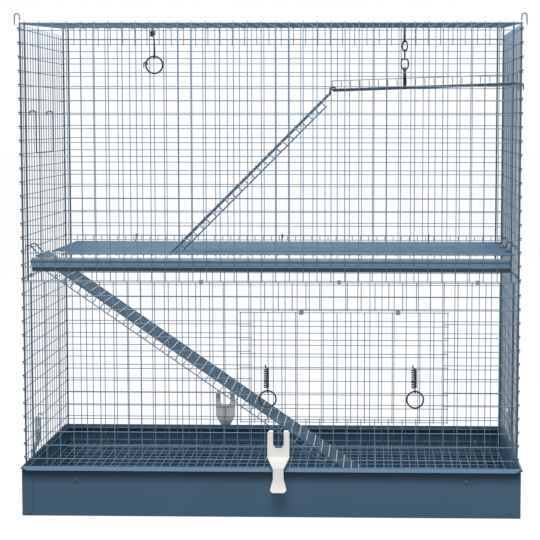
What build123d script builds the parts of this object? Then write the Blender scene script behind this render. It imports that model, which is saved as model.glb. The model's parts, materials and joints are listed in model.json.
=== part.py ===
from build123d import *
import os
from math import asin, cos, pi, radians, sin, sqrt

os.makedirs("parts", exist_ok=True)

# Wire and mesh, millimetres throughout
PITCH = 19.05
FINE = 12.7
WIRE = 2.0
WIDE_CELLS = 36
DEEP_CELLS = 18
LOWER_CELLS = 17
UPPER_CELLS = 18
HALF = WIRE / 2

# Walls: faces where the two wire layers of a panel meet
SIDE_X = WIDE_CELLS * PITCH / 2
FACE_Y = DEEP_CELLS * PITCH / 2
SIDE_LIFT = 2.9
BACK_LIFT = 3.8
FRONT_UP_PHASE = 0.389
FRONT_LOW_PHASE = 0.587
BACK_UP_PHASE = 0.474
BACK_LOW_PHASE = 0.181
TIP_RISE = 11.1
SIDE_TIP = 5.05

# Base pan
SHEET = 1.2
PAN_PLAY = 1.4
PAN_TALL = 70.0
RIM_TALL = 10.0
RIM_OUT = 4.0
TAB_WIDE = 15.0
RIVET_R = 3.0
RIVET_IN = 75.5
RIVET_DROP = 18.0

# Levels
FIRST_WIRE_Z = 3.9
FLOOR_DROP = 0.1
DECK_RISE = 35.85
LOW_Z = [FIRST_WIRE_Z + PITCH * k for k in range(LOWER_CELLS + 1)]
UP_Z = [LOW_Z[-1] + WIRE + PITCH * k for k in range(UPPER_CELLS + 1)]
FLOOR_TOP = LOW_Z[2] - FLOOR_DROP
DECK_TOP = LOW_Z[-1] + DECK_RISE

# Middle floor and its trim
DECK_FRONT_Y = -FACE_Y + 3 * PITCH
DECK_NOTCH_X = -SIDE_X + 45.7
DECK_NOTCH_Y = DECK_FRONT_Y + 62.3
DECK_LEFT_X = -SIDE_X + 20.3
DECK_LIP = 9.0
HEM_LEFT_X = DECK_LEFT_X + 219.6
HEM_TALL = 7.0
TRIM_HALF = SIDE_X - 11.6
TRIM_ROLL = 6.0
TRIM_TOP = DECK_TOP - 2.5
TRIM_DROP = 19.4

# Lid
LID_FRONT_Y = -FACE_Y + 3.85
LID_FRONT_Z = UP_Z[-1] + HALF + 8.35
LID_BACK_RISE = 12.0
LID_PHASE = 0.87
LID_FLANGE = 27.0

# Lower ramp
RAMP_CELLS = 7
LOW_RAMP_NEAR_Y = -FACE_Y + 20.95
LOW_RAMP_HEAD = (-SIDE_X + 16.0, DECK_TOP - 0.4)
LOW_RAMP_FOOT = 2.4
LOW_RAMP_LONG = 44
RAMP_FLANGE = 10.0

# Upper ramp and shelf
SHELF_LEFT_X = SIDE_X - 257.9
SHELF_NEAR_Y = -FACE_Y + 15.45
SHELF_LONG = 20
SHELF_DEEP = 10
SHELF_TILT = 2.0
SHELF_RAIL = 9.0
UP_RAMP_NEAR_Y = -FACE_Y + 44.45
UP_RAMP_SLOPE = 45.0
UP_RAMP_DROP = 8.6

# Front door
DOOR_PLAY = 0.4
DOOR_LAP = 14.08
DOOR_CELLS = 15
DOOR_TALL = 8
DOOR_HINGE_CELLS = (4, 11)
DOOR_HINGE_ASIDE = 7.8
DOOR_HINGE_DROP = 2.75
OPEN_FIRST_CELLS = 16
OPEN_LAST_CELLS = 30
OPEN_LOW_CELLS = 7
OPEN_HIGH_CELLS = 15

# Springs, rings and hooks
SPRING_WIRE = 1.3
COIL_R = 3.4
COIL_STEP = 2.4
COIL_SIDES = 8
RING_R = 11.6
RING_SIDES = 24
RING_WIRE = 1.8
HOOK_WIRE = 1.8
LATCH_CELLS = (2, 12)
LATCH_ASIDE = (-3.6, 9.5)
LATCH_TURNS = 11
LATCH_DROP = 43.4
HANGER_CELLS = 9.2
HANGER_TURNS = 3
HANGER_DROP = 47.0
HOOK_REACH = 2.5
CHAIN_CELLS = 27
CHAIN_ASIDE = 5.1
CHAIN_IN = 4.85
BEND_FACETS = 3
STRAP_WIDE = 4.2
STRAP_THICK = 1.5
LINK_WIRE = 1.6

# Clips of the two sections and of the floor, each in a clear gap between uprights
CLIP_FRONT_CELLS = 2.99
CLIP_REAR_CELLS = 2.83
CLIP_EVERY = 10
FLOOR_CLIP_CELLS = (3.3, 18.08, 33.3)
FLOOR_CLIP_REAR_CELLS = (3.42, 18.67, 33.92)

# Pan clips, each centred on an upright
PAN_CLIP_CELLS = 18
PAN_CLIP_BACK_CELLS = 13
PAN_CLIP_LEFT_CELLS = -3
PAN_CLIP_RIGHT_CELLS = 1
PAN_CLIP_WIRE_CELLS = 6


def bar(x0, x1, y0, y1, z0, z1):
    middle = ((x0 + x1) / 2, (y0 + y1) / 2, (z0 + z1) / 2)
    return Pos(*middle) * Box(x1 - x0, y1 - y0, z1 - z0)


def save(name, solids):
    shape = Compound(list(solids)) if isinstance(solids, (list, tuple)) else solids
    export_step(shape, "parts/" + name + ".step")


def cross_wires(plane, places, low, high, layer):
    """Wires that run along the plane's own Y, one at each place along X."""
    n0 = 0.0 if layer > 0 else -WIRE
    flat = [bar(u - HALF, u + HALF, low, high, n0, n0 + WIRE) for u in places]
    return [plane.location * piece for piece in flat]


def long_wires(plane, places, low, high, layer):
    """Wires that run along the plane's own X, one at each place along Y."""
    n0 = 0.0 if layer > 0 else -WIRE
    flat = [bar(low, high, v - HALF, v + HALF, n0, n0 + WIRE) for v in places]
    return [plane.location * piece for piece in flat]


def bent(points, radius):
    """The points of a path through the corners given, each bend made of a few straight facets."""
    spots = [Vector(*p) for p in points]
    path = [spots[0]]
    for before, corner, after in zip(spots, spots[1:], spots[2:]):
        back = (before - corner).normalized()
        ahead = (after - corner).normalized()
        half_angle = radians(back.get_angle(ahead)) / 2
        reach = radius * cos(half_angle) / sin(half_angle)
        centre = corner + (back + ahead).normalized() * (radius / sin(half_angle))
        first = corner + back * reach - centre
        last = corner + ahead * reach - centre
        turn = pi - 2 * half_angle
        for k in range(BEND_FACETS + 1):
            angle = turn * k / BEND_FACETS
            path.append(centre + first * (sin(turn - angle) / sin(turn)) + last * (sin(angle) / sin(turn)))
    return path + [spots[-1]]


def rod(points, wide, tall):
    """One wire of straight runs through the points, mitred where they meet."""
    path = Polyline(points)
    section = Plane(path @ 0, z_dir=path % 0) * Rectangle(wide, tall)
    return sweep(section, path=path, transition=Transition.RIGHT, clean=False)


def rod_facing(points, side, wide, tall):
    """A strip along the points whose width lies along the side direction."""
    path = Polyline(points)
    section = Plane(path @ 0, x_dir=side, z_dir=path % 0) * Rectangle(wide, tall)
    return sweep(section, path=path, transition=Transition.RIGHT, clean=False)


def band_x(x, width, y0, y1, z0, z1, thick):
    """A flat clip bent round a bundle of wires that run along X."""
    outer = bar(x - width / 2, x + width / 2, y0 - thick, y1 + thick, z0 - thick, z1 + thick)
    return outer - bar(x - width, x + width, y0, y1, z0, z1)


def band_y(y, width, x0, x1, z0, z1, thick):
    outer = bar(x0 - thick, x1 + thick, y - width / 2, y + width / 2, z0 - thick, z1 + thick)
    return outer - bar(x0, x1, y - width, y + width, z0, z1)


# Base pan: floor, walls, sloping rims with mitred ends, corner tabs
pan_in_x = SIDE_X + WIRE + PAN_PLAY
pan_in_y = FACE_Y + WIRE + PAN_PLAY
pan_x = pan_in_x + SHEET
pan_y = pan_in_y + SHEET
pan = bar(-pan_x, pan_x, -pan_y, pan_y, 0, PAN_TALL)
pan -= bar(-pan_in_x, pan_in_x, -pan_in_y, pan_in_y, SHEET, PAN_TALL + 1)


def rim(half_length, reach):
    """One sloping rim along X on the -Y wall, its ends cut back toward the lower edge."""
    low = PAN_TALL - RIM_TALL
    profile = Polygon(
        (-reach + SHEET / 2, PAN_TALL),
        (-reach, PAN_TALL),
        (-reach - RIM_OUT, low),
        (-reach - RIM_OUT + SHEET, low),
        (-reach + SHEET / 2, PAN_TALL - 3 * SHEET),
        align=None,
    )
    strip = extrude(Plane.YZ * profile, half_length, both=True)
    for side in (-1, 1):
        cut = Polygon(
            (side * half_length, PAN_TALL - 0.8),
            (side * (half_length - RIM_TALL * 0.8), low - 1),
            (side * (half_length + 20), low - 1),
            (side * (half_length + 20), PAN_TALL - 0.8),
            align=None,
        )
        strip -= extrude(Plane.XZ * cut, reach + 40, both=True)
    return strip


long_rim = rim(pan_x, pan_y)
short_rim = rim(pan_y, pan_x)
pan += long_rim + Rot(0, 0, 180) * long_rim
pan += Rot(0, 0, 90) * short_rim + Rot(0, 0, -90) * short_rim
tab_top = PAN_TALL - RIM_TALL - 2
for sx in (-1, 1):
    for sy in (-1, 1):
        tab = Polygon(
            (sx * (pan_x - TAB_WIDE), 8),
            (sx * (pan_x - TAB_WIDE + 7), 0.4),
            (sx * pan_x, 0.4),
            (sx * pan_x, tab_top),
            (sx * (pan_x - TAB_WIDE), tab_top),
            align=None,
        )
        slab = extrude(Plane.XZ * tab, 0.8, both=True)
        pan += Pos(0, sy * pan_y, 0) * slab
save("base_pan", pan)
rivet = extrude(Plane.XZ * RegularPolygon(RIVET_R, 12), 1.2)
rivet += Pos(0, -1.2, 0) * extrude(Plane.XZ * RegularPolygon(RIVET_R * 0.7, 12), 0.4)
rivet_x = pan_x - RIVET_IN
rivet_z = PAN_TALL - RIVET_DROP
save("pan_rivets", [Pos(sx * rivet_x, -pan_y, rivet_z) * rivet for sx in (-1, 1)])

# Wall planes: X along the wall, Y up, Z outward
front = Plane(origin=(0, -FACE_Y, 0), x_dir=(1, 0, 0), z_dir=(0, -1, 0))
back = Plane(origin=(0, FACE_Y, 0), x_dir=(-1, 0, 0), z_dir=(0, 1, 0))
left = Plane(origin=(-SIDE_X, 0, 0), x_dir=(0, -1, 0), z_dir=(-1, 0, 0))
right = Plane(origin=(SIDE_X, 0, 0), x_dir=(0, 1, 0), z_dir=(1, 0, 0))
across = SIDE_X + WIRE
corner_u = SIDE_X - HALF


def upright(phase, cells):
    """Place along a wide panel, counted in cells from its first wire."""
    return PITCH * (-WIDE_CELLS / 2 + phase + cells)


def lattice(phase):
    """Upright places of a wide panel: its two corner wires and the wires between them."""
    inner = [upright(phase, k) for k in range(WIDE_CELLS)]
    return [-corner_u] + [u for u in inner if abs(u) < SIDE_X - 2 * WIRE] + [corner_u]


def wide_panel(plane, phase, levels, low, high):
    sign = plane.x_dir.X
    places = [sign * u for u in lattice(phase)]
    return long_wires(plane, levels, -across, across, 1) + cross_wires(plane, places, low, high, -1)


def deep_panel(plane, levels, low, high):
    """Side panel: its level wires reach the front and back faces, beside the corner uprights."""
    inner = [PITCH * k for k in range(-DEEP_CELLS // 2 + 1, DEEP_CELLS // 2)]
    return long_wires(plane, levels, -FACE_Y, FACE_Y, 1) + cross_wires(plane, inner, low, high, -1)


low_top = LOW_Z[-1] + HALF
up_top = UP_Z[-1] + HALF
side_low = [z + SIDE_LIFT for z in LOW_Z]
side_up = [z + SIDE_LIFT for z in UP_Z]
back_low = [z + BACK_LIFT for z in LOW_Z]
back_up = [z + BACK_LIFT for z in UP_Z]

# Lower front panel, with its wires cut back at the door opening
low_front_x = lattice(FRONT_LOW_PHASE)
open_x0 = upright(FRONT_LOW_PHASE, OPEN_FIRST_CELLS)
open_x1 = upright(FRONT_LOW_PHASE, OPEN_LAST_CELLS)
open_z0 = LOW_Z[OPEN_LOW_CELLS]
open_z1 = LOW_Z[OPEN_HIGH_CELLS]
cut_z = [z for z in LOW_Z if open_z0 + 1 < z < open_z1 - 1]
whole_z = [z for z in LOW_Z if z not in cut_z]
cut_x = [x for x in low_front_x if open_x0 + 1 < x < open_x1 - 1]
whole_x = [x for x in low_front_x if x not in cut_x]
low_front = long_wires(front, whole_z, -across, across, 1)
low_front += long_wires(front, cut_z, -across, open_x0 + HALF, 1)
low_front += long_wires(front, cut_z, open_x1 - HALF, across, 1)
low_front += cross_wires(front, whole_x, SHEET, low_top, -1)
low_front += cross_wires(front, cut_x, SHEET, open_z0 + HALF, -1)
low_front += cross_wires(front, cut_x, open_z1 - HALF, low_top, -1)
save("lower_front_mesh", low_front)
save("lower_back_mesh", wide_panel(back, BACK_LOW_PHASE, back_low, SHEET, low_top + BACK_LIFT))
save("lower_left_mesh", deep_panel(left, side_low, SHEET, low_top + SIDE_LIFT))
save("lower_right_mesh", deep_panel(right, side_low, SHEET, low_top + SIDE_LIFT))

# Upper panels: the uprights run on past the top wire as tips
tip_top = up_top + TIP_RISE
side_tip_top = up_top + SIDE_LIFT + SIDE_TIP
back_tip_top = LID_FRONT_Z + LID_BACK_RISE * (FACE_Y - HALF - LID_FRONT_Y) / (2 * FACE_Y) - 0.4
save("upper_front_mesh", wide_panel(front, FRONT_UP_PHASE, UP_Z, low_top, tip_top))
save("upper_back_mesh", wide_panel(back, BACK_UP_PHASE, back_up, low_top + BACK_LIFT, back_tip_top))
save("upper_left_mesh", deep_panel(left, side_up, low_top + SIDE_LIFT, side_tip_top))
save("upper_right_mesh", deep_panel(right, side_up, low_top + SIDE_LIFT, side_tip_top))

# Side wires bent across the front corner uprights, one at every level
wraps = []
for z in side_low[:-1] + side_up:
    wraps.append(bar(-SIDE_X - WIRE, -SIDE_X + 3, -FACE_Y - WIRE, -FACE_Y, z - HALF, z + HALF))
    wraps.append(bar(SIDE_X - 3, SIDE_X + WIRE, -FACE_Y - WIRE, -FACE_Y, z - HALF, z + HALF))
save("corner_wraps", wraps)

# Clips that hold the upper section on the lower one
clips = []
for k in range(4):
    x = upright(0, CLIP_FRONT_CELLS + CLIP_EVERY * k)
    clips.append(band_x(x, 5, -FACE_Y - WIRE, -FACE_Y, LOW_Z[-1] - HALF, UP_Z[0] + HALF, 0.8))
    x = upright(0, CLIP_REAR_CELLS + CLIP_EVERY * k)
    clips.append(band_x(x, 5, FACE_Y, FACE_Y + WIRE, back_low[-1] - HALF, back_up[0] + HALF, 0.8))
for y in (-5.5 * PITCH, 3.5 * PITCH):
    clips.append(band_y(y, 5, -SIDE_X - WIRE, -SIDE_X, side_low[-1] - HALF, side_up[0] + HALF, 0.8))
    clips.append(band_y(y, 5, SIDE_X, SIDE_X + WIRE, side_low[-1] - HALF, side_up[0] + HALF, 0.8))
save("section_clips", clips)

# Mesh floor over the pan: front-to-back wires on top, level wires below at twice their spacing
floor_plane = Plane(origin=(0, 0, FLOOR_TOP - WIRE), z_dir=(0, 0, 1))
floor_x = SIDE_X - WIRE
floor_y = FACE_Y - WIRE
floor_wide = int(2 * floor_x / FINE)
floor_deep = int(floor_y / FINE)
floor_us = [FINE * (k - floor_wide / 2) for k in range(floor_wide + 1)]
floor_vs = [2 * FINE * (k - floor_deep / 2) for k in range(floor_deep + 1)]
floor = long_wires(floor_plane, floor_vs, -floor_x, floor_x, -1)
floor += cross_wires(floor_plane, floor_us, -floor_y, floor_y, 1)
floor_low = FLOOR_TOP - 2 * WIRE
save("floor_mesh", floor)
floor_clips = []
for cells in FLOOR_CLIP_CELLS:
    x = upright(0, cells)
    floor_clips.append(
        band_x(x, 4, -FACE_Y - WIRE, floor_vs[0] + HALF, floor_low, LOW_Z[2] + HALF, 0.8)
    )
for cells in FLOOR_CLIP_REAR_CELLS:
    x = upright(0, cells)
    floor_clips.append(
        band_x(x, 4, floor_vs[-1] - HALF, FACE_Y + WIRE, floor_low, back_low[2] + HALF, 0.8)
    )
save("floor_clips", floor_clips)

# Middle floor: level wires on top, notched at the front left for the ramp
deck_plane = Plane(origin=(0, 0, DECK_TOP - WIRE), z_dir=(0, 0, 1))
deck_right = SIDE_X - WIRE
deck_back = FACE_Y - WIRE
deck_deep = int((deck_back - DECK_FRONT_Y) / FINE)
deck_wide = int((deck_right - DECK_LEFT_X) / FINE)
deck_vs = [DECK_FRONT_Y + FINE * k for k in range(deck_deep + 1)]
deck_us = [DECK_LEFT_X + FINE * k for k in range(deck_wide + 1)]
notch_vs = [v for v in deck_vs if v < DECK_NOTCH_Y]
full_vs = [v for v in deck_vs if v >= DECK_NOTCH_Y]
notch_us = [u for u in deck_us if u < DECK_NOTCH_X - 1]
full_us = [u for u in deck_us if u >= DECK_NOTCH_X - 1]
deck = long_wires(deck_plane, notch_vs, DECK_NOTCH_X - 2, deck_right, 1)
deck += long_wires(deck_plane, full_vs, DECK_LEFT_X - 2, deck_right, 1)
deck += cross_wires(deck_plane, notch_us, full_vs[0] - 2, deck_back, -1)
deck += cross_wires(deck_plane, full_us, DECK_FRONT_Y - 2, deck_back, -1)
save("mid_deck_mesh", deck)
lip_y = deck_vs[-1]
lip_z = DECK_TOP + DECK_LIP
lip = [bar(u - HALF, u + HALF, lip_y - HALF, lip_y + HALF, DECK_TOP, lip_z - WIRE) for u in deck_us]
lip.append(bar(DECK_LEFT_X - 2, deck_right, lip_y - HALF, lip_y + HALF, lip_z - WIRE, lip_z))
save("mid_deck_back_lip", lip)
hem_us = [u for u in deck_us if HEM_LEFT_X < u < deck_right - 15]
hem_top = DECK_TOP + HEM_TALL - WIRE
hem = [
    bar(u - HALF, u + HALF, DECK_FRONT_Y - HALF, DECK_FRONT_Y + HALF, DECK_TOP, hem_top - WIRE)
    for u in hem_us
]
hem.append(
    bar(hem_us[0] - 2, hem_us[-1] + 2, DECK_FRONT_Y - HALF, DECK_FRONT_Y + HALF, hem_top - WIRE, hem_top)
)
save("mid_deck_front_hem", hem)

# Hooks that hang the middle floor on the right and back walls
hooks = []
hook_z = side_up[2] + HALF + HOOK_WIRE / 2
for cells in (-3.5, 0.5, 5.5):
    y = PITCH * cells
    path = bent(
        [
            (SIDE_X - 16, y, DECK_TOP + HOOK_WIRE / 2),
            (SIDE_X - 4.4, y, DECK_TOP + HOOK_WIRE / 2),
            (SIDE_X - 4.4, y, hook_z),
            (SIDE_X + 4.4, y, hook_z),
            (SIDE_X + 4.4, y, hook_z - 7),
        ],
        2.2,
    )
    hooks.append(rod(path, HOOK_WIRE, HOOK_WIRE))
hook_z = back_up[2] + HALF + HOOK_WIRE / 2
back_gaps = [-PITCH * (-WIDE_CELLS / 2 + BACK_UP_PHASE + k + 0.5) for k in (5, 17, 29)]
for x in back_gaps:
    path = bent(
        [
            (-x, lip_y - 20, DECK_TOP + HOOK_WIRE / 2),
            (-x, lip_y - 7, DECK_TOP + HOOK_WIRE / 2),
            (-x, lip_y - 7, hook_z),
            (-x, FACE_Y + 4.4, hook_z),
            (-x, FACE_Y + 4.4, hook_z - 7),
        ],
        2.2,
    )
    hooks.append(rod(path, HOOK_WIRE, HOOK_WIRE))
save("deck_hooks", hooks)

# Front trim: a rolled edge with a recessed face below it
trim_y = -FACE_Y + WIRE + 0.05 + TRIM_ROLL
trim_z = TRIM_TOP - TRIM_ROLL
roll = Pos(0, trim_y, trim_z) * Rot(0, 90, 0) * Cylinder(TRIM_ROLL, 2 * TRIM_HALF)
roll -= Pos(0, trim_y, trim_z) * Rot(0, 90, 0) * Cylinder(TRIM_ROLL - SHEET, 2 * TRIM_HALF + 2)
roll -= bar(-400, 400, trim_y, trim_y + 20, trim_z - 20, trim_z + 20)
face = bar(
    -TRIM_HALF, TRIM_HALF, trim_y - SHEET, trim_y, TRIM_TOP - TRIM_DROP, trim_z - TRIM_ROLL + SHEET
)
save("mid_front_trim", roll + face)

# Lower ramp: rungs on top, long wires below, one cell turned down along the near edge
slope = asin((LOW_RAMP_HEAD[1] - FLOOR_TOP - LOW_RAMP_FOOT) / (LOW_RAMP_LONG * FINE))
low_ramp = Plane(
    origin=(LOW_RAMP_HEAD[0], 0, LOW_RAMP_HEAD[1]),
    x_dir=(cos(slope), 0, -sin(slope)),
    z_dir=(sin(slope), 0, cos(slope)),
)
ramp_vs = [LOW_RAMP_NEAR_Y + FINE * k for k in range(RAMP_CELLS + 1)]
ramp_us = [FINE * k for k in range(LOW_RAMP_LONG + 1)]
ramp = cross_wires(low_ramp, ramp_us, ramp_vs[0] - HALF, ramp_vs[-1] + 3, 1)
ramp += long_wires(low_ramp, ramp_vs, -HALF, ramp_us[-1] + HALF, -1)
save("lower_ramp_mesh", ramp)
turn_us = ramp_us[1:-2]
near = ramp_vs[0]
turned = [bar(u - HALF, u + HALF, near - HALF, near + HALF, -RAMP_FLANGE, -WIRE) for u in turn_us]
turned.append(
    bar(turn_us[0] - 2, turn_us[-1] + 2, near - HALF, near + HALF, -RAMP_FLANGE - WIRE, -RAMP_FLANGE)
)
save("lower_ramp_flange", [low_ramp.location * piece for piece in turned])
low_hooks = []
low_pin_z = side_up[2]
head = low_ramp.location * Pos(-HALF, 0, -HALF)
for v in (ramp_vs[2], ramp_vs[5]):
    path = bent(
        [
            (head.position.X, v, head.position.Z),
            (head.position.X - 5 * cos(slope), v, head.position.Z + 5 * sin(slope)),
            (-SIDE_X + 3.0, v, low_pin_z + 4.4),
            (-SIDE_X - 4.6, v, low_pin_z + 4.4),
            (-SIDE_X - 4.6, v, low_pin_z - 2.4),
        ],
        2.6,
    )
    low_hooks.append(rod(path, HOOK_WIRE, HOOK_WIRE))
save("lower_ramp_hooks", low_hooks)

# Shelf: front-to-back wires on top, a rail of one cell along the front edge
right_rest = side_up[14] + HALF
tilt = radians(SHELF_TILT)
shelf_rise = SHELF_LONG * FINE * sin(tilt)
shelf_z = right_rest + WIRE - shelf_rise
shelf = Plane(
    origin=(SHELF_LEFT_X, 0, shelf_z), x_dir=(cos(tilt), 0, sin(tilt)), z_dir=(-sin(tilt), 0, cos(tilt))
)
shelf_us = [FINE * k for k in range(SHELF_LONG + 1)]
shelf_vs = [SHELF_NEAR_Y + FINE * k for k in range(SHELF_DEEP + 1)]
plate = cross_wires(shelf, shelf_us, shelf_vs[0] - 1.5, shelf_vs[-1] + 1.5, 1)
plate += long_wires(shelf, shelf_vs, -1.5, shelf_us[-1] + 1.2, -1)
save("shelf_mesh", plate)
near = shelf_vs[0]
rail = [
    bar(u - HALF, u + HALF, near - HALF, near + HALF, WIRE, WIRE + SHELF_RAIL - HALF) for u in shelf_us
]
rail_top = WIRE + SHELF_RAIL - HALF
rail.append(bar(-1.5, shelf_us[-1] + 1.2, near - HALF, near + HALF, rail_top, rail_top + WIRE))
save("shelf_rail", [shelf.location * piece for piece in rail])
shelf_hooks = []
end = shelf.location * Pos(shelf_us[-1] + 1.3, 0, -HALF)
for v in (shelf_vs[1], shelf_vs[7]):
    path = bent(
        [
            (end.position.X, v, end.position.Z),
            (SIDE_X + 4.6, v, end.position.Z + 0.2),
            (SIDE_X + 4.6, v, end.position.Z - 10),
        ],
        2.2,
    )
    shelf_hooks.append(rod(path, HOOK_WIRE, HOOK_WIRE))
save("shelf_hooks", shelf_hooks)

# Upper ramp, hung on the shelf's left end wire
steep = radians(UP_RAMP_SLOPE)
pin_x = SHELF_LEFT_X - HALF * sin(tilt)
pin_z = shelf_z + HALF * cos(tilt)
up_head = (pin_x - UP_RAMP_DROP, pin_z - UP_RAMP_DROP)
up_ramp = Plane(
    origin=(up_head[0], 0, up_head[1]),
    x_dir=(-cos(steep), 0, -sin(steep)),
    z_dir=(-sin(steep), 0, cos(steep)),
)
foot_run = (up_head[1] - DECK_TOP - 0.3 - WIRE * cos(steep)) / sin(steep)
up_us = [FINE * k for k in range(int((foot_run - 2 * WIRE) / FINE) + 1)]
up_vs = [-UP_RAMP_NEAR_Y - FINE * k for k in range(RAMP_CELLS + 1)]
plank = cross_wires(up_ramp, up_us, up_vs[-1] - 3, up_vs[0] + HALF, 1)
plank += long_wires(up_ramp, up_vs, -HALF, foot_run, -1)
save("upper_ramp_mesh", plank)
turn_us = up_us[1:-1]
near = up_vs[0]
turned = [bar(u - HALF, u + HALF, near - HALF, near + HALF, -RAMP_FLANGE, -WIRE) for u in turn_us]
turned.append(
    bar(turn_us[0] - 2, turn_us[-1] + 2, near - HALF, near + HALF, -RAMP_FLANGE - WIRE, -RAMP_FLANGE)
)
save("upper_ramp_flange", [up_ramp.location * piece for piece in turned])
up_hooks = []
head = up_ramp.location * Pos(-HALF, 0, -HALF)
for v in (up_vs[1], up_vs[6]):
    path = bent(
        [
            (head.position.X, -v, head.position.Z),
            (head.position.X + 3 * cos(steep), -v, head.position.Z + 3 * sin(steep)),
            (pin_x - 3.4, -v, pin_z + 3.0),
            (pin_x + 3.0, -v, pin_z + 3.0),
            (pin_x + 3.0, -v, pin_z - 1.0),
        ],
        2.6,
    )
    up_hooks.append(rod(path, HOOK_WIRE, HOOK_WIRE))
save("upper_ramp_hooks", up_hooks)

# Lid: hinged on its front wire, which lies under the curled tips of the front uprights
lid_slope = Vector(0, 2 * FACE_Y, LID_BACK_RISE).normalized()
lid = Plane(
    origin=(0, LID_FRONT_Y, LID_FRONT_Z), x_dir=(1, 0, 0), z_dir=(0, -lid_slope.Z, lid_slope.Y)
)
lid_vs = [PITCH * k for k in range(DEEP_CELLS)]
lid_vs.append((FACE_Y - HALF - LID_FRONT_Y) / lid_slope.Y)
lid_end = (FACE_Y + 3 * WIRE - LID_FRONT_Y) / lid_slope.Y - WIRE * lid_slope.Z - 0.01
lid_us = [PITCH * (-WIDE_CELLS / 2 + LID_PHASE + k) for k in range(WIDE_CELLS)]
lid_us = [-SIDE_X + 4.2] + [u for u in lid_us if abs(u) < SIDE_X - 12] + [SIDE_X - 4.2]
lid_wires = long_wires(lid, lid_vs, -SIDE_X - 1, SIDE_X + 1, 1)
lid_wires += cross_wires(lid, lid_us, -1.5, lid_end, -1)
save("lid_mesh", lid_wires)
flange_y = FACE_Y + 3 * WIRE
flange_top = LID_FRONT_Z + LID_BACK_RISE * (flange_y - LID_FRONT_Y) / (2 * FACE_Y)
flange_low = flange_top - LID_FLANGE
flange = [bar(u - HALF, u + HALF, flange_y, flange_y + WIRE, flange_low, flange_top) for u in lid_us]
flange_z = flange_low + 9.0
flange.append(
    bar(-SIDE_X - 1, SIDE_X + 1, flange_y + WIRE, flange_y + 2 * WIRE, flange_z - HALF, flange_z + HALF)
)
save("lid_back_flange", flange)
tip_ends = lattice(FRONT_UP_PHASE)[1:-1]
curls = [
    bar(x - HALF, x + HALF, -FACE_Y, LID_FRONT_Y + 2.5, tip_top, tip_top + WIRE) for x in tip_ends
]
save("lid_hinge_curls", curls)

# Hooks at the two front top corners, over the ends of the lid's hinge wire
corner_hooks = []
for s in (-1, 1):
    path = bent(
        [
            (s * corner_u, -FACE_Y + HALF, tip_top),
            (s * corner_u, -FACE_Y + HALF, tip_top + 10.9),
            (s * (corner_u + 7.2), -FACE_Y + HALF, tip_top + 10.9),
            (s * (corner_u + 7.2), -FACE_Y + HALF, tip_top - 7),
        ],
        3.4,
    )
    corner_hooks.append(rod(path, WIRE, WIRE))
save("corner_hooks", corner_hooks)

# Front door, outside its opening
door_y = -FACE_Y - WIRE - DOOR_PLAY - WIRE
door_top = open_z1 - DOOR_HINGE_DROP
door = Plane(origin=(0, door_y, 0), x_dir=(1, 0, 0), z_dir=(0, -1, 0))
door_zs = [door_top - PITCH * k for k in range(DOOR_TALL + 1)]
door_xs = [open_x0 - DOOR_LAP + PITCH * k for k in range(DOOR_CELLS + 1)]
leaf = long_wires(door, door_zs, door_xs[0] - 1.5, door_xs[-1] + 1.5, 1)
leaf += cross_wires(door, door_xs, door_zs[-1] - 1.5, door_top + HALF, -1)
save("door_mesh", leaf)
pin_y = door_y - HALF
grip = 1.85
hinge_xs = [door_xs[k] + DOOR_HINGE_ASIDE for k in DOOR_HINGE_CELLS]
door_clips = [
    band_x(x, 6, pin_y - grip, -FACE_Y, door_top - grip, open_z1 + HALF, 0.8) for x in hinge_xs
]
save("door_hinge_clips", door_clips)


def spring_path(x, wire_y, wire_z, turns, ring_z):
    """Points of one wire: a hook over a level wire, a coil, and an eye round the top of a ring."""
    reach = HOOK_REACH
    aside = 1.6
    arch_z = wire_z + 1.0
    coil_y = wire_y - reach - COIL_R
    eye_z = ring_z + RING_R
    quarter = [pi * k / 4 for k in range(5)]
    points = [(x, wire_y + reach, wire_z - 1.2)]
    points += [(x, wire_y + reach * cos(a), arch_z + reach * sin(a)) for a in quarter]
    z = arch_z - 0.4
    points.append((x, wire_y - reach, z))
    coil_x = x + aside
    z -= aside
    for k in range(COIL_SIDES * turns + 1):
        a = pi / 2 - 2 * pi * k / COIL_SIDES
        drop = COIL_STEP * k / COIL_SIDES
        points.append((coil_x + COIL_R * cos(a), coil_y + COIL_R * sin(a), z - drop))
    z -= COIL_STEP * turns + aside
    eye_x = coil_x + aside
    eye_y = wire_y - 2 * reach
    points.append((eye_x, wire_y - reach, z))
    points += [(eye_x, eye_y + reach * cos(a), eye_z - reach * sin(a)) for a in quarter]
    points.append((eye_x, eye_y - reach, eye_z + 1.5))
    return [Vector(*p) for p in points], (eye_x, eye_y)


def least_gap(points):
    """Nearest approach of a spring's wire to itself, on points along it, less the wire's diagonal."""
    spots = []
    run = 0.0
    for begin, finish in zip(points, points[1:]):
        length = (finish - begin).length
        steps = max(1, round(length / 0.4))
        for k in range(steps):
            spot = begin + (finish - begin) * (k / steps)
            spots.append((run + length * k / steps, spot.X, spot.Y, spot.Z))
        run += length
    half_turn = pi * COIL_R
    apart = min(
        (p[1] - q[1]) ** 2 + (p[2] - q[2]) ** 2 + (p[3] - q[3]) ** 2
        for i, p in enumerate(spots)
        for q in spots[:i]
        if p[0] - q[0] > half_turn
    )
    return sqrt(apart) - SPRING_WIRE * sqrt(2)


def ring(x, y, z):
    """A pull ring seen face-on; the eye of its spring passes through the top."""
    flat = RegularPolygon(RING_R + RING_WIRE / 2, RING_SIDES)
    flat -= RegularPolygon(RING_R - RING_WIRE / 2, RING_SIDES)
    return Pos(x, y, z) * extrude(Plane.XZ * flat, RING_WIRE / 2, both=True)


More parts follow.
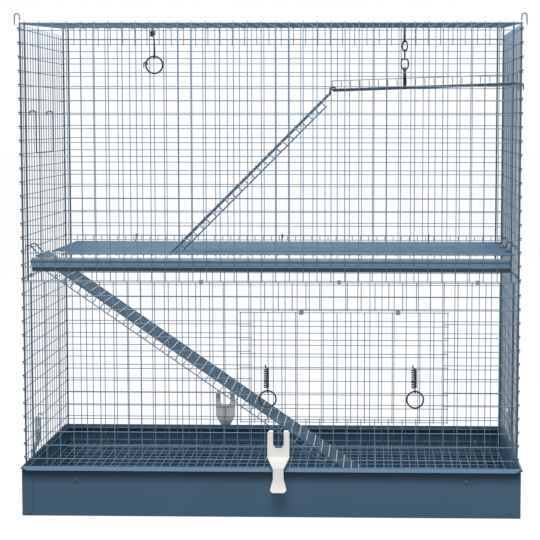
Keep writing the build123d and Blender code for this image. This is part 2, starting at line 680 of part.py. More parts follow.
def hung_spring(name, x, wire_y, wire_z, turns, drop):
    """A spring and its ring, hung on a level wire; gives the ring's centre."""
    ring_z = wire_z - drop
    points, spot = spring_path(x, wire_y, wire_z, turns, ring_z)
    save(name + "_spring", rod(points, SPRING_WIRE, SPRING_WIRE))
    save(name + "_ring", ring(spot[0], spot[1], ring_z))
    print(name, "spring, least gap to itself in mm:", round(least_gap(points), 2))
    return spot[0], spot[1], ring_z


for name, cells, aside in zip(("latch_left", "latch_right"), LATCH_CELLS, LATCH_ASIDE):
    hung_spring(name, door_xs[cells] + aside, pin_y, door_zs[4], LATCH_TURNS, LATCH_DROP)

hanger_x = upright(FRONT_UP_PHASE, HANGER_CELLS)
hung = hung_spring("hanger", hanger_x, -FACE_Y - HALF, UP_Z[-1], HANGER_TURNS, HANGER_DROP)
hook_x = hung[0] - RING_R
hook_y = hung[1] - 2.6
path = bent(
    [
        (hook_x - 2.4, hook_y, hung[2] - 5.0),
        (hook_x - 2.4, hook_y, hung[2] + 3.4),
        (hook_x + 2.4, hook_y, hung[2] + 3.4),
        (hook_x + 2.4, hook_y, hung[2] - 0.5),
    ],
    2.0,
)
save("hanger_hook", rod(path, LINK_WIRE, LINK_WIRE))


def link(x, y, top, tall, r, across_dir):
    """One oval chain link with cut corners, its top wire's middle at the given height."""
    outer = chamfer(Rectangle(2 * r + LINK_WIRE, tall + LINK_WIRE).vertices(), 0.58 * (r + LINK_WIRE / 2))
    inner = chamfer(Rectangle(2 * r - LINK_WIRE, tall - LINK_WIRE).vertices(), 0.58 * (r - LINK_WIRE / 2))
    flat = extrude(outer - inner, LINK_WIRE / 2, both=True)
    facing = across_dir.cross(Vector(0, 0, 1))
    return Plane(origin=(x, y, top - tall / 2), x_dir=across_dir, z_dir=facing).location * flat


# Chain from the top front wire down to the strap that carries the shelf
along_x = Vector(1, 0, 0)
along_y = Vector(0, 1, 0)
chain_x = upright(FRONT_UP_PHASE, CHAIN_CELLS) + CHAIN_ASIDE
chain_y = -FACE_Y + CHAIN_IN
top_r = CHAIN_IN + WIRE + LINK_WIRE / 2 + 0.05
link_top = up_top + 7.0
links = []
for tall, r, across_dir in (
    (24.0, top_r, along_y),
    (13.5, 3.4, along_x),
    (13.5, 3.4, along_y),
    (15.0, 5.0, along_x),
):
    links.append(link(chain_x, chain_y, link_top, tall, r, across_dir))
    link_top -= tall - LINK_WIRE - 0.05
save("shelf_chain", links)
eye_z = link_top - LINK_WIRE - 0.05
shelf_at_chain = shelf_z + (chain_x - SHELF_LEFT_X) * sin(tilt)
strap_low = shelf_at_chain - WIRE - STRAP_THICK / 2 - 0.15
strap_top = eye_z + LINK_WIRE / 2 + STRAP_THICK / 2 + 0.7
path = bent(
    [
        (chain_x, chain_y + 3.2, eye_z - 3.0),
        (chain_x, chain_y + 3.2, strap_top),
        (chain_x, chain_y - 3.2, strap_top),
        (chain_x, chain_y - 3.2, eye_z - 9.0),
        (chain_x, SHELF_NEAR_Y - 4.2, eye_z - 16.0),
        (chain_x, SHELF_NEAR_Y - 4.2, strap_low),
        (chain_x, SHELF_NEAR_Y + 3.0, strap_low),
        (chain_x, SHELF_NEAR_Y + 3.0, strap_low + 2.2),
    ],
    1.6,
)
save("shelf_strap", rod_facing(path, (1, 0, 0), STRAP_WIDE, STRAP_THICK))

# Bottle hanger on the left wall
pin_level = side_up[12]
hang_ys = (-PITCH * 4.5, PITCH * 2.5)
hang_in = -SIDE_X + 5.4
hang_out = -SIDE_X - HALF - 2.8
hang_top = pin_level + 2.8
hang_low = pin_level - 56.8
path = bent(
    [
        (hang_out, hang_ys[0], pin_level - 4.0),
        (hang_out, hang_ys[0], hang_top),
        (hang_in, hang_ys[0], hang_top),
        (hang_in, hang_ys[0], hang_low),
        (hang_in, hang_ys[1], hang_low),
        (hang_in, hang_ys[1], hang_top),
        (hang_out, hang_ys[1], hang_top),
        (hang_out, hang_ys[1], pin_level - 4.0),
    ],
    3.0,
)
save("bottle_hanger", rod(path, HOOK_WIRE, HOOK_WIRE))


def pan_clip(hinge_z):
    """A moulded clip on the -Y wall: hooks over a level wire, grips under the pan's rim."""
    top = PAN_TALL
    rim_low = top - RIM_TALL
    stand = PAN_PLAY + SHEET + RIM_OUT + 0.9
    side = Polygon(
        (3.6, hinge_z - 3),
        (3.6, top + 16),
        (stand + 3, top),
        (stand + 3, top - 22),
        (stand + 6.4, top - 34),
        (stand + 3.4, top - 34.8),
        (stand, top - 21.5),
        (stand, top - 16.5),
        (stand - 3.6, top - 15.8),
        (stand - 3.6, rim_low - 2.2),
        (stand, rim_low - 1.2),
        (stand, top - 1),
        (0.9, top + 14),
        (0.9, hinge_z + 1.85),
        (-2.95, hinge_z + 1.85),
        (-2.95, hinge_z - 1.1),
        (-4.5, hinge_z - 1.1),
        (-4.5, hinge_z + 3.5),
        (2.4, hinge_z + 3.5),
        (3.6, hinge_z + 2.2),
        align=None,
    )
    body = extrude(Plane.YZ * side, 16, both=True)
    half_outline = Polygon(
        (0, top - 33.5),
        (8.5, top - 33.5),
        (11.3, top - 30),
        (11.3, top - 28),
        (7.4, top - 15),
        (7.4, top - 1),
        (15.2, top + 14.5),
        (15.2, hinge_z + 0.4),
        (12.4, hinge_z + 4),
        (7.5, hinge_z + 4),
        (7.5, hinge_z - 16),
        (4.0, hinge_z - 21),
        (0, hinge_z - 21),
        align=None,
    )
    outline = half_outline + mirror(half_outline, Plane.YZ)
    body = body & extrude(Plane.XZ * outline, 30, both=True)
    turned = Rot(0, 0, 180) * body
    return Pos(0, -FACE_Y - WIRE, 0) * turned


def side_clip(hinge_z, angle, along):
    """The same clip turned onto a side wall, whose wires stand further out than the front's."""
    moved = Pos(0, -(SIDE_X - FACE_Y), 0) * pan_clip(hinge_z)
    return Pos(0, along, 0) * Rot(0, 0, angle) * moved


clip_x = upright(FRONT_LOW_PHASE, PAN_CLIP_CELLS)
clip_back_x = upright(BACK_LOW_PHASE, PAN_CLIP_BACK_CELLS)
clip_z = LOW_Z[PAN_CLIP_WIRE_CELLS]
save("pan_clip_front", Pos(clip_x, 0, 0) * pan_clip(clip_z))
save("pan_clip_back", Pos(clip_back_x, 0, 0) * Rot(0, 0, 180) * pan_clip(clip_z + BACK_LIFT))
save("pan_clip_left", side_clip(clip_z + SIDE_LIFT, -90, PITCH * PAN_CLIP_LEFT_CELLS))
save("pan_clip_right", side_clip(clip_z + SIDE_LIFT, 90, PITCH * PAN_CLIP_RIGHT_CELLS))
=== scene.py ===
import json
import math
import random

import bmesh
import bpy
import numpy as np
from mathutils import Matrix, Vector

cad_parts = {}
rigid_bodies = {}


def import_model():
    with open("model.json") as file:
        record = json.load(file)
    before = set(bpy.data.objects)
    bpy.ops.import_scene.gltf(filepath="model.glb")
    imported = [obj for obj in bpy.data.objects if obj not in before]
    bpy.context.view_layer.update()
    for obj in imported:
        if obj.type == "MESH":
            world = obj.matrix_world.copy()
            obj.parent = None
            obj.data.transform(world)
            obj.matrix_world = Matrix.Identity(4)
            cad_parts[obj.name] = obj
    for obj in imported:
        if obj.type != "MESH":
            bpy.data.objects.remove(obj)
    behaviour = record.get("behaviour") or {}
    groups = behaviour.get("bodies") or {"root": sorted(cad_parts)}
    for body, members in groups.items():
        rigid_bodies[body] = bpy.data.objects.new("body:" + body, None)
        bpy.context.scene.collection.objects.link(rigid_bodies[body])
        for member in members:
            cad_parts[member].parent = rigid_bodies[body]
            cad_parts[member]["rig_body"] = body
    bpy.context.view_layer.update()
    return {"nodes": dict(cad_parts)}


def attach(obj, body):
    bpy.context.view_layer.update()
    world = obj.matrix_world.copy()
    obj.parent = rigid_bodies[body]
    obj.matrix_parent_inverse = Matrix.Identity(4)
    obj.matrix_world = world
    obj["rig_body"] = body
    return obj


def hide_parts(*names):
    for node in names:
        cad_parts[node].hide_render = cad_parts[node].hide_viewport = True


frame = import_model()
nodes = frame["nodes"]
random.seed(7)

# Wire radii, in metres like every size here
WIRE_R = 0.00057
RIGHT_R = 0.00063
LID_R = 0.00095
POST_R = 0.0013
RAIL_R = 0.00098
RAMP_RAIL_R = 0.0012
RUNG_R = 0.00075

# Shape of a wire: its sides, its narrowed ends and its slight bow
WIRE_SIDES = 10
END_SHARE = 0.72
SOFT_PER_RADIUS = 0.45
SOFT_PER_HALF = 0.3
BOW = 0.00022
BOW_STEP = 0.045

# The CAD's bars: half their thickness, half the length from which one is long, where corner posts stand
BAR_HALF = 0.001
LONG_HALF = 0.1
POST_X = 0.330

# Curled tips over the lid's front wire, and the stem of the hanger
CURL_DROP = 0.00115
STEM_TOP = 0.662
STEM_GROW = 0.0011

# Pan rim and middle trim: heights, and shares of the paint's tone by height, which paint shade and
# highlights on the rim and the trim
RIM_LOW = 0.060
RIM_LIFT = 0.0046
# Painted shadow under the pan's rim, darkest just below its edge and over the walls inside and out, and the
# rim painted lighter as a highlight
RIM_SHADE = ((0.045, 0.74), (0.060, 0.28), (0.0640, 0.18), (0.0650, 1.0))
RIM_SPAN = 0.1
# Below this height the trim's faces take a second paint that is painted shade
TRIM_STEP = 0.3475
# Painted light along the trim's roll: a painted highlight low on it, a painted shade groove above, and its
# upper part darker
TRIM_SHADE = (
    (0.3505, 1.0), (0.3530, 0.90), (0.3538, 0.13),
    (0.3560, 0.14), (0.3569, 0.33), (0.3580, 0.30),
)
TRIM_SPAN = 0.4

# Pan clips: broken edges, rounded corners, and the foot whose small steps are joined
CLIP_EDGE = 0.0005
CLIP_CORNER = 0.0024
FOOT_TOP = 0.0435
FOOT_STEP = 0.0022

# Limits: joined corners, equal heights, flat faces, sharp edges, directions that count as along or across
JOIN = 1e-6
NEAR = 0.0005
FLAT = math.radians(0.5)
FLAT_PAIR = 0.02
SHEET_SHARP = math.radians(25)
CLIP_SHARP = math.radians(30)
ALONG = 0.9
ACROSS = 0.5

# Stage: floor, its look and the sky's level
FLOOR_HALF = 30.0
FLOOR_Z = -0.0005
FLOOR_MATT = (0.42, 0.43, 0.45, 1)
FLOOR_GLOW = 1.06
FLOOR_WHITE = 0.93
WHITE = (1, 1, 1, 1)
SKY = 0.24

# Lamps: name, place, size and power, all aimed at one point
LAMP_AIM = (0, 0, 0.3)
LAMPS = (
    ("top", (0.1, 0.1, 2.6), (2.4, 1.6), 48),
    ("key", (-0.3, -1.15, 2.8), (1.8, 0.7), 84),
    ("front", (0.4, -3.2, 1.3), (2.2, 1.2), 10),
)

# Camera: seen from the front, a little right of the middle and above it
IMAGE = 540
FOCAL_PX = 1780.81
SENSOR_MM = 36.0
CAMERA_AT = (0.142597, -2.614432, 0.546952)
CAMERA_YAW = -0.02798
CAMERA_PITCH = 0.09737
CAMERA_ROLL = 0.00073
SHIFT_X = -0.1
SHIFT_Y = 0.05
CLIP_END = 100


# Materials
def new_material(name):
    """A material with its node tree and its shader."""
    material = bpy.data.materials.new(name)
    material.use_nodes = True
    tree = material.node_tree
    return material, tree, tree.nodes["Principled BSDF"]


def link(tree, a, b):
    """Joins an output to an input."""
    tree.links.new(a, b)


def noise(tree, scale, detail=3.0):
    """Noise fixed to the object."""
    where = tree.nodes.new("ShaderNodeTexCoord")
    texture = tree.nodes.new("ShaderNodeTexNoise")
    texture.inputs["Scale"].default_value = scale
    texture.inputs["Detail"].default_value = detail
    link(tree, where.outputs["Object"], texture.inputs["Vector"])
    return texture


def ramp(tree, source, stops):
    """Colours by place along a value from 0 to 1."""
    node = tree.nodes.new("ShaderNodeValToRGB")
    elements = node.color_ramp.elements
    while len(elements) < len(stops):
        elements.new(0.5)
    for element, (place, colour) in zip(elements, stops):
        element.position = place
        element.color = (*colour, 1.0)
    link(tree, source, node.inputs["Fac"])
    return node


def grey(value):
    """One value for all three channels."""
    return (value, value, value)


def bump(tree, shader, height, strength, distance):
    """Fine relief from a height value."""
    node = tree.nodes.new("ShaderNodeBump")
    node.inputs["Strength"].default_value = strength
    node.inputs["Distance"].default_value = distance
    link(tree, height, node.inputs["Height"])
    link(tree, node.outputs["Normal"], shader.inputs["Normal"])


def painted(name, dark, light, rough, coat, grain):
    """Powder coat: two close tones in soft patches, fine orange-peel grain, a thin clear gloss."""
    patch_scale, peel_scale, peel_strength = grain
    material, tree, shader = new_material(name)
    patches = noise(tree, patch_scale)
    tones = ramp(tree, patches.outputs["Fac"], ((0.34, dark), (0.68, light)))
    link(tree, tones.outputs["Color"], shader.inputs["Base Color"])
    rubbed = ramp(tree, patches.outputs["Fac"], ((0.3, grey(rough - 0.05)), (0.7, grey(rough + 0.07))))
    link(tree, rubbed.outputs["Color"], shader.inputs["Roughness"])
    shader.inputs["Coat Weight"].default_value = coat
    shader.inputs["Coat Roughness"].default_value = 0.25
    peel = noise(tree, peel_scale, 2.0)
    bump(tree, shader, peel.outputs["Fac"], peel_strength, 0.0004)
    return material


def metal(name, dark, light, rough, scratch_scale):
    """Plated or blackened steel with fine uneven polish."""
    material, tree, shader = new_material(name)
    shader.inputs["Metallic"].default_value = 0.6
    patches = noise(tree, scratch_scale, 5.0)
    tones = ramp(tree, patches.outputs["Fac"], ((0.32, dark), (0.7, light)))
    link(tree, tones.outputs["Color"], shader.inputs["Base Color"])
    polish = ramp(tree, patches.outputs["Fac"], ((0.25, grey(rough)), (0.75, grey(rough + 0.16))))
    link(tree, polish.outputs["Color"], shader.inputs["Roughness"])
    bump(tree, shader, patches.outputs["Fac"], 0.12, 0.0002)
    return material


def moulded(name, dark, light):
    """Off-white moulded plastic with a faint matt grain."""
    material, tree, shader = new_material(name)
    patches = noise(tree, 60.0)
    tones = ramp(tree, patches.outputs["Fac"], ((0.3, dark), (0.7, light)))
    link(tree, tones.outputs["Color"], shader.inputs["Base Color"])
    shader.inputs["Roughness"].default_value = 0.42
    shader.inputs["Subsurface Weight"].default_value = 0.06
    shader.inputs["Subsurface Radius"].default_value = (0.002, 0.0015, 0.001)
    grain = noise(tree, 2600.0, 2.0)
    bump(tree, shader, grain.outputs["Fac"], 0.08, 0.0002)
    return material


def shade_and_highlight_by_height(material, stops, span):
    """Painted shade and painted highlight: a share of the paint's tone, set by height up to the span."""
    tree = material.node_tree
    base = tree.nodes["Principled BSDF"].inputs["Base Color"]
    tones = base.links[0].from_socket
    where = tree.nodes.new("ShaderNodeTexCoord")
    split = tree.nodes.new("ShaderNodeSeparateXYZ")
    link(tree, where.outputs["Object"], split.inputs["Vector"])
    scale = tree.nodes.new("ShaderNodeMath")
    scale.operation = "MULTIPLY"
    scale.inputs[1].default_value = 1.0 / span
    link(tree, split.outputs["Z"], scale.inputs[0])
    shade = ramp(tree, scale.outputs[0], [(height / span, grey(share)) for height, share in stops])
    mix = tree.nodes.new("ShaderNodeMix")
    mix.data_type = "RGBA"
    mix.blend_type = "MULTIPLY"
    mix.inputs["Factor"].default_value = 1.0
    # The colour sockets of a mix node are told apart by number only
    link(tree, tones, mix.inputs[6])
    link(tree, shade.outputs["Color"], mix.inputs[7])
    link(tree, mix.outputs[2], base)


# Paints: name, darker and lighter tone, roughness, clear coat, and scales and strength of the grain
WIRE_GRAIN = (30.0, 900.0, 0.03)
SHEET_GRAIN = (9.0, 1400.0, 0.10)
PAINTS = (
    ("coated_wire", (0.092, 0.176, 0.260), (0.116, 0.210, 0.300), 0.42, 0.06, WIRE_GRAIN),
    # Painted shade: a darker copy of the wire paint for corner posts, corner wraps and shelf rails
    ("dark_shade_wire", (0.030, 0.068, 0.108), (0.040, 0.086, 0.130), 0.48, 0.05, WIRE_GRAIN),
    # Painted shade: a darker copy of the wire paint for ramp rails, a flange's rail and the deck's back lip
    ("shaded_wire", (0.052, 0.110, 0.168), (0.064, 0.130, 0.194), 0.44, 0.10, WIRE_GRAIN),
    # Painted shade: a slightly darker copy of the wire paint for the middle deck
    ("deck_shade_wire", (0.070, 0.150, 0.242), (0.088, 0.180, 0.280), 0.42, 0.06, WIRE_GRAIN),
    # Painted highlight: a lighter copy of the wire paint for rungs and the lid's hinge curls
    ("highlight_wire", (0.26, 0.34, 0.41), (0.36, 0.44, 0.51), 0.32, 0.20, WIRE_GRAIN),
    ("painted_sheet", (0.024, 0.070, 0.120), (0.030, 0.080, 0.135), 0.46, 0.06, SHEET_GRAIN),
    # The pan's paint, darkened by height into a painted shadow under the rim and a painted highlight on the
    # rim
    ("pan_sheet", (0.074, 0.148, 0.228), (0.084, 0.163, 0.250), 0.50, 0.0, SHEET_GRAIN),
    # A light trim paint, darkened by height into painted shade and painted highlight along its roll
    ("trim_sheet", (0.250, 0.460, 0.640), (0.290, 0.500, 0.680), 0.42, 0.05, SHEET_GRAIN),
    # Painted shade: a dark paint for the trim's lower face under its roll
    ("shaded_sheet", (0.024, 0.054, 0.080), (0.030, 0.064, 0.094), 0.55, 0.0, SHEET_GRAIN),
)
paints = {row[0]: painted(*row) for row in PAINTS}
pan_shader = paints["pan_sheet"].node_tree.nodes["Principled BSDF"]
pan_shader.inputs["Specular IOR Level"].default_value = 0.15
# Painted shadow under the pan's rim and a painted highlight on the rim
shade_and_highlight_by_height(paints["pan_sheet"], RIM_SHADE, RIM_SPAN)
# Painted highlight and painted shade along the trim's roll
shade_and_highlight_by_height(paints["trim_sheet"], TRIM_SHADE, TRIM_SPAN)
MATERIALS = {
    "coated_wire": paints["coated_wire"],
    "painted_sheet": paints["painted_sheet"],
    "bright_clip": metal("bright_clip", (0.14, 0.18, 0.22), (0.22, 0.27, 0.32), 0.32, 240.0),
    "dark_hardware": metal("dark_hardware", (0.016, 0.024, 0.034), (0.034, 0.046, 0.060), 0.46, 260.0),
    "clip_plastic": moulded("clip_plastic", (0.74, 0.73, 0.70), (0.80, 0.79, 0.76)),
}
slots = {name: node.data.materials[0].name for name, node in nodes.items()}
for name, node in nodes.items():
    node.data.materials.clear()
    node.data.materials.append(MATERIALS[slots[name]])


# Tones of wire, by place in a piece's list of materials, and the paints after the first, which are copies of
# the wire paint with painted shade and painted highlight
PLAIN, DARK_SHADE, HIGHLIGHT, SHADED, DECK_SHADE = range(5)
SHADE_AND_HIGHLIGHT_TONES = ("dark_shade_wire", "highlight_wire", "shaded_wire", "deck_shade_wire")

# Radius and tone of a panel's long wires and of its short ones, where they are not plain; tones other than
# plain are painted shade and painted highlight
PLAIN_LOOK = (WIRE_R, PLAIN)
POST_LOOK = (POST_R, DARK_SHADE)
LOOKS = {
    "shelf_mesh": ((RAIL_R, DARK_SHADE), (RUNG_R, HIGHLIGHT)),
    "lower_ramp_mesh": ((RAMP_RAIL_R, SHADED), (RUNG_R, HIGHLIGHT)),
    "lower_ramp_flange": ((RUNG_R, PLAIN), (RUNG_R, HIGHLIGHT)),
    "upper_ramp_mesh": ((RUNG_R, PLAIN), (RUNG_R, HIGHLIGHT)),
    "upper_ramp_flange": ((RAIL_R, SHADED), (RUNG_R, PLAIN)),
    "lid_mesh": ((LID_R, PLAIN), (LID_R, PLAIN)),
    "lid_hinge_curls": ((WIRE_R, HIGHLIGHT), (WIRE_R, HIGHLIGHT)),
    "lower_right_mesh": ((RIGHT_R, PLAIN), (RIGHT_R, PLAIN)),
    "upper_right_mesh": ((RIGHT_R, PLAIN), (RIGHT_R, PLAIN)),
    "mid_deck_mesh": ((WIRE_R, DECK_SHADE), (WIRE_R, DECK_SHADE)),
    "mid_deck_back_lip": ((WIRE_R, SHADED), (WIRE_R, SHADED)),
    "corner_wraps": (POST_LOOK, POST_LOOK),
}
POSTED_NODES = ("lower_front_mesh", "lower_back_mesh", "upper_front_mesh", "upper_back_mesh")


# Pieces that stand for CAD nodes
def joined_mesh(node_name):
    """The node's mesh with its split corners joined again."""
    mesh = bmesh.new()
    mesh.from_mesh(nodes[node_name].data)
    bmesh.ops.remove_doubles(mesh, verts=mesh.verts, dist=JOIN)
    return mesh


def flat_faced_mesh(node_name):
    """The node's joined mesh with the triangles of each flat face made one face."""
    mesh = joined_mesh(node_name)
    bmesh.ops.dissolve_limit(mesh, angle_limit=FLAT, verts=mesh.verts, edges=mesh.edges)
    return mesh


def loose_parts(mesh):
    """Corners of each solid, found by walking from face to face across their edges."""
    mesh.verts.index_update()
    mesh.faces.index_update()
    seen = set()
    for seed in mesh.faces:
        if seed.index in seen:
            continue
        seen.add(seed.index)
        group = [seed]
        todo = [seed]
        while todo:
            for edge in todo.pop().edges:
                for face in edge.link_faces:
                    if face.index not in seen:
                        seen.add(face.index)
                        group.append(face)
                        todo.append(face)
        corners = {vert.index: vert.co for face in group for vert in face.verts}
        yield np.array([corners[k] for k in sorted(corners)])


def axis_of(corners):
    """Middle, direction and half length of a bar, from its corners."""
    middle = corners.mean(0)
    spread = corners - middle
    values, vectors = np.linalg.eigh(spread.T @ spread)
    along = vectors[:, -1]
    return Vector(middle), Vector(along), float(np.abs(spread @ along).max())


def add_wire(mesh, middle, along, half, radius, tone):
    """A round wire with softened ends and a slight, steady bow."""
    side = along.orthogonal().normalized()
    other = along.cross(side)
    soft = min(radius * SOFT_PER_RADIUS, half * SOFT_PER_HALF)
    steps = max(1, int(2 * half / BOW_STEP))
    lean = random.uniform(-BOW, BOW) if steps > 2 else 0.0
    tilt = random.uniform(0, 2 * math.pi)
    bow = (side * math.cos(tilt) + other * math.sin(tilt)) * lean
    places = [(-half, END_SHARE), (-half + soft, 1.0)]
    places += [(-half + 2 * half * k / steps, 1.0) for k in range(1, steps)]
    places += [(half - soft, 1.0), (half, END_SHARE)]
    rings = []
    for place, share in places:
        centre = middle + along * place + bow * (1 - (place / half) ** 2)
        ring = []
        for k in range(WIRE_SIDES):
            angle = 2 * math.pi * k / WIRE_SIDES
            out = side * math.cos(angle) + other * math.sin(angle)
            ring.append(mesh.verts.new(centre + out * radius * share))
        rings.append(ring)
    for low, high in zip(rings, rings[1:]):
        for k in range(WIRE_SIDES):
            after = (k + 1) % WIRE_SIDES
            side_face = mesh.faces.new((low[k], low[after], high[after], high[k]))
            side_face.smooth = True
            side_face.material_index = tone
    for end in (list(reversed(rings[0])), rings[-1]):
        mesh.faces.new(end).material_index = tone


def settle(name, mesh, node_name):
    """Makes the piece, rides it on its node's body and lets it stand for the node."""
    data = bpy.data.meshes.new(name)
    bmesh.ops.recalc_face_normals(mesh, faces=mesh.faces)
    mesh.to_mesh(data)
    mesh.free()
    piece = bpy.data.objects.new(name, data)
    bpy.context.scene.collection.objects.link(piece)
    slot = slots[node_name]
    data.materials.append(MATERIALS[slot])
    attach(piece, nodes[node_name]["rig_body"])
    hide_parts(node_name)
    return piece


def drawn_together(bars):
    """Bars of a two-layer panel moved toward the plane between them, so the thinner wires still meet."""
    main = max(bars, key=lambda bar: bar[2])[1]
    crossing = [along for middle, along, half in bars if abs(along.dot(main)) < ACROSS]
    if not crossing:
        return bars
    facing = main.cross(crossing[0]).normalized()
    depths = [middle.dot(facing) for middle, along, half in bars]
    between = (max(depths) + min(depths)) / 2
    keep = WIRE_R / BAR_HALF
    return [
        (middle - facing * (depth - between) * (1 - keep), along, half)
        for (middle, along, half), depth in zip(bars, depths)
    ]


def wire_look(node_name, middle, half):
    """Radius and tone of one wire: corner posts thick and painted dark as shade, the others as listed for
    their panel.
    """
    is_long = half > LONG_HALF
    if is_long and node_name in POSTED_NODES and abs(middle.x) > POST_X:
        return POST_LOOK
    long_look, short_look = LOOKS.get(node_name, (PLAIN_LOOK, PLAIN_LOOK))
    return long_look if is_long else short_look


def round_wires(node_name):
    """Every bar of a mesh panel as a round wire."""
    mesh = joined_mesh(node_name)
    bars = [axis_of(corners) for corners in loose_parts(mesh)]
    mesh.free()
    wires = bmesh.new()
    for middle, along, half in drawn_together(bars):
        radius, tone = wire_look(node_name, middle, half)
        if node_name == "lid_hinge_curls":
            middle.z -= CURL_DROP
        if node_name == "upper_front_mesh" and abs(along.z) > ALONG:
            middle.z -= CURL_DROP / 2
            half -= CURL_DROP / 2
        add_wire(wires, middle, along, half, radius, tone)
    piece = settle(node_name + "_wires", wires, node_name)
    # Copies of the wire paint with painted shade and painted highlight, after the plain one
    for paint in SHADE_AND_HIGHLIGHT_TONES:
        piece.data.materials.append(paints[paint])


def round_bends(node_name, grow):
    """A bent wire, ring or link, with its flats and facets rounded off."""
    mesh = joined_mesh(node_name)
    mesh.normal_update()
    for vert in mesh.verts:
        stem = node_name == "hanger_spring" and vert.co.z < STEM_TOP
        vert.co += vert.normal * (STEM_GROW if stem else grow)
    bmesh.ops.join_triangles(
        mesh, faces=mesh.faces, angle_face_threshold=FLAT_PAIR, angle_shape_threshold=math.pi
    )
    for face in mesh.faces:
        face.smooth = True
    piece = settle(node_name + "_bent", mesh, node_name)
    smooth = piece.modifiers.new("round", "SUBSURF")
    smooth.levels = 2
    smooth.render_levels = 2


def soft_edges(node_name, width):
    """A sheet or bent strip with its sharp edges broken."""
    mesh = flat_faced_mesh(node_name)
    if node_name == "base_pan":
        for vert in mesh.verts:
            if abs(vert.co.z - RIM_LOW) < NEAR:
                vert.co.z += RIM_LIFT
    # Faces of the trim below its step take the second paint, painted shade on the lower face
    if node_name == "mid_front_trim":
        for face in mesh.faces:
            face.material_index = 1 if face.calc_center_median().z < TRIM_STEP else 0
    piece = settle(node_name + "_edged", mesh, node_name)
    # The pan takes its paint with painted shade under the rim and a painted highlight on it
    if node_name == "base_pan":
        piece.data.materials[0] = paints["pan_sheet"]
    # The trim's paint carries painted highlight and painted shade by height, and its second paint is painted
    # shade for the lower face
    if node_name == "mid_front_trim":
        piece.data.materials[0] = paints["trim_sheet"]
        piece.data.materials.append(paints["shaded_sheet"])
    edge = piece.modifiers.new("edge", "BEVEL")
    edge.width = width
    edge.segments = 2
    edge.limit_method = "ANGLE"
    edge.angle_limit = SHEET_SHARP
    edge.use_clamp_overlap = True


def moulded_clip(node_name, facing):
    """A clip with the corners of its outline rounded, then all its edges broken."""
    mesh = flat_faced_mesh(node_name)
    foot = [vert for vert in mesh.verts if vert.co.z < FOOT_TOP]
    bmesh.ops.remove_doubles(mesh, verts=foot, dist=FOOT_STEP)
    piece = settle(node_name + "_moulded", mesh, node_name)
    data = piece.data
    weights = data.attributes.new("bevel_weight_edge", "FLOAT", "EDGE")
    for edge in data.edges:
        first, last = (data.vertices[k].co for k in edge.vertices)
        run = (last - first).normalized()
        weights.data[edge.index].value = 1.0 if abs(run.dot(facing)) > ALONG else 0.0
    outline = piece.modifiers.new("outline", "BEVEL")
    outline.width = CLIP_CORNER
    outline.segments = 6
    outline.limit_method = "WEIGHT"
    edges = piece.modifiers.new("edges", "BEVEL")
    edges.width = CLIP_EDGE
    edges.segments = 3
    edges.limit_method = "ANGLE"
    edges.angle_limit = CLIP_SHARP
    for polygon in data.polygons:
        polygon.use_smooth = True
    flats = piece.modifiers.new("flats", "WEIGHTED_NORMAL")
    flats.keep_sharp = True


MESH_NODES = (
    "lower_front_mesh", "lower_back_mesh", "lower_left_mesh", "lower_right_mesh",
    "upper_front_mesh", "upper_back_mesh", "upper_left_mesh", "upper_right_mesh",
    "corner_wraps", "floor_mesh", "mid_deck_mesh", "mid_deck_back_lip", "mid_deck_front_hem",
    "lower_ramp_mesh", "lower_ramp_flange", "shelf_mesh", "shelf_rail",
    "upper_ramp_mesh", "upper_ramp_flange", "lid_mesh", "lid_back_flange", "lid_hinge_curls",
    "door_mesh",
)
# Bent wires, and how much each is thickened before it is rounded
BENT_NODES = {
    "deck_hooks": 0.0,
    "lower_ramp_hooks": 0.0,
    "shelf_hooks": 0.0,
    "upper_ramp_hooks": 0.0,
    "corner_hooks": 0.0,
    "latch_left_spring": 0.00045,
    "latch_right_spring": 0.00045,
    "latch_left_ring": 0.0005,
    "latch_right_ring": 0.0005,
    "hanger_spring": 0.00045,
    "hanger_ring": 0.0005,
    "hanger_hook": 0.0002,
    "shelf_chain": 0.0005,
    "bottle_hanger": 0.0,
}
# Sheets and strips, and the width of their broken edges
EDGED_NODES = {
    "base_pan": 0.0004,
    "pan_rivets": 0.0003,
    "mid_front_trim": 0.0004,
    "section_clips": 0.00025,
    "floor_clips": 0.00025,
    "door_hinge_clips": 0.00025,
    "shelf_strap": 0.0004,
}
# Pan clips, and the way each faces
CLIPS = {
    "pan_clip_front": Vector((0, 1, 0)),
    "pan_clip_back": Vector((0, 1, 0)),
    "pan_clip_left": Vector((1, 0, 0)),
    "pan_clip_right": Vector((1, 0, 0)),
}
for node_name in MESH_NODES:
    round_wires(node_name)
for node_name, grow in BENT_NODES.items():
    round_bends(node_name, grow)
for node_name, width in EDGED_NODES.items():
    soft_edges(node_name, width)
for node_name, facing in CLIPS.items():
    moulded_clip(node_name, facing)


# Stage: white floor, soft light, camera
def seen_rays(tree):
    """One for rays from the camera, off glossy surfaces and through clear ones."""
    path = tree.nodes.new("ShaderNodeLightPath")
    total = path.outputs["Is Camera Ray"]
    for kind in ("Is Glossy Ray", "Is Transmission Ray"):
        add = tree.nodes.new("ShaderNodeMath")
        add.operation = "ADD"
        add.use_clamp = True
        link(tree, total, add.inputs[0])
        link(tree, path.outputs[kind], add.inputs[1])
        total = add.outputs[0]
    return total


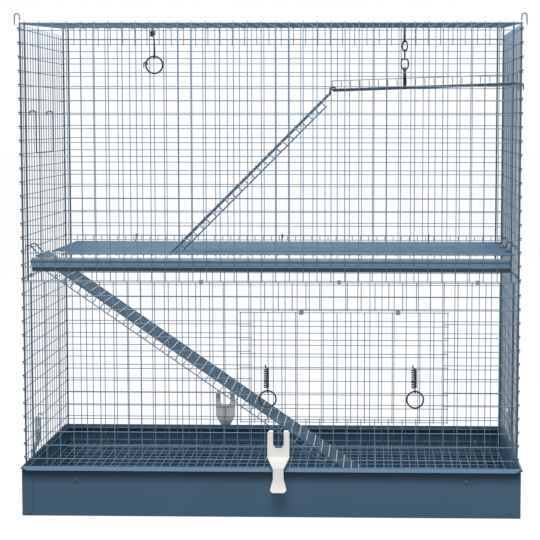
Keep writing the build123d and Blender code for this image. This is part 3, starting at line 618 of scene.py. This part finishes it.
def stage_material():
    """White to the camera and in reflections, with a trace of the object's shadow."""
    material = bpy.data.materials.new("stage_white")
    material.use_nodes = True
    tree = material.node_tree
    tree.nodes.clear()
    out = tree.nodes.new("ShaderNodeOutputMaterial")
    matt = tree.nodes.new("ShaderNodeBsdfDiffuse")
    matt.inputs["Color"].default_value = FLOOR_MATT
    glow = tree.nodes.new("ShaderNodeEmission")
    glow.inputs["Strength"].default_value = FLOOR_GLOW
    share = tree.nodes.new("ShaderNodeMath")
    share.operation = "MULTIPLY"
    share.inputs[1].default_value = FLOOR_WHITE
    link(tree, seen_rays(tree), share.inputs[0])
    mix = tree.nodes.new("ShaderNodeMixShader")
    link(tree, share.outputs[0], mix.inputs["Fac"])
    link(tree, matt.outputs[0], mix.inputs[1])
    link(tree, glow.outputs[0], mix.inputs[2])
    link(tree, mix.outputs[0], out.inputs["Surface"])
    return material


def lay_floor():
    """A wide white floor just below the pan."""
    corners = ((-1, -1), (1, -1), (1, 1), (-1, 1))
    data = bpy.data.meshes.new("floor")
    data.from_pydata([(x * FLOOR_HALF, y * FLOOR_HALF, FLOOR_Z) for x, y in corners], [], [(0, 1, 2, 3)])
    data.materials.append(stage_material())
    floor = bpy.data.objects.new("floor", data)
    bpy.context.scene.collection.objects.link(floor)


def light_sky():
    """A dim white sky that is plain white where it is seen."""
    world = bpy.data.worlds.new("studio")
    world.use_nodes = True
    bpy.context.scene.world = world
    tree = world.node_tree
    sky = tree.nodes["Background"]
    sky.inputs["Color"].default_value = WHITE
    sky.inputs["Strength"].default_value = SKY
    white = tree.nodes.new("ShaderNodeBackground")
    white.inputs["Color"].default_value = WHITE
    white.inputs["Strength"].default_value = 1.0
    mix = tree.nodes.new("ShaderNodeMixShader")
    link(tree, seen_rays(tree), mix.inputs["Fac"])
    link(tree, sky.outputs[0], mix.inputs[1])
    link(tree, white.outputs[0], mix.inputs[2])
    link(tree, mix.outputs[0], tree.nodes["World Output"].inputs["Surface"])


def hang_lamp(name, place, size, power):
    """A wide soft lamp."""
    light = bpy.data.lights.new(name, "AREA")
    light.shape = "RECTANGLE"
    light.size, light.size_y = size
    light.energy = power
    lamp = bpy.data.objects.new(name, light)
    lamp.location = place
    lamp.rotation_euler = (Vector(LAMP_AIM) - Vector(place)).to_track_quat("-Z", "Y").to_euler()
    bpy.context.scene.collection.objects.link(lamp)


def place_camera():
    """The photo's camera, turned by yaw, pitch and roll."""
    yaw_cos, yaw_sin = math.cos(CAMERA_YAW), math.sin(CAMERA_YAW)
    pitch_cos, pitch_sin = math.cos(CAMERA_PITCH), math.sin(CAMERA_PITCH)
    forward = Vector((yaw_sin * pitch_cos, yaw_cos * pitch_cos, -pitch_sin))
    level = Vector((yaw_cos, -yaw_sin, 0))
    upward = level.cross(forward)
    right = level * math.cos(CAMERA_ROLL) + upward * math.sin(CAMERA_ROLL)
    up = upward * math.cos(CAMERA_ROLL) - level * math.sin(CAMERA_ROLL)
    lens = bpy.data.cameras.new("camera")
    lens.sensor_width = SENSOR_MM
    lens.lens = FOCAL_PX * SENSOR_MM / IMAGE
    lens.shift_x = SHIFT_X
    lens.shift_y = SHIFT_Y
    lens.clip_end = CLIP_END
    camera = bpy.data.objects.new("camera", lens)
    turn = Matrix((right, up, -forward)).transposed()
    camera.matrix_world = Matrix.Translation(CAMERA_AT) @ turn.to_4x4()
    bpy.context.scene.collection.objects.link(camera)
    bpy.context.scene.camera = camera


lay_floor()
light_sky()
for name, place, size, power in LAMPS:
    hang_lamp(name, place, size, power)
place_camera()
bpy.context.scene.view_settings.view_transform = "Standard"
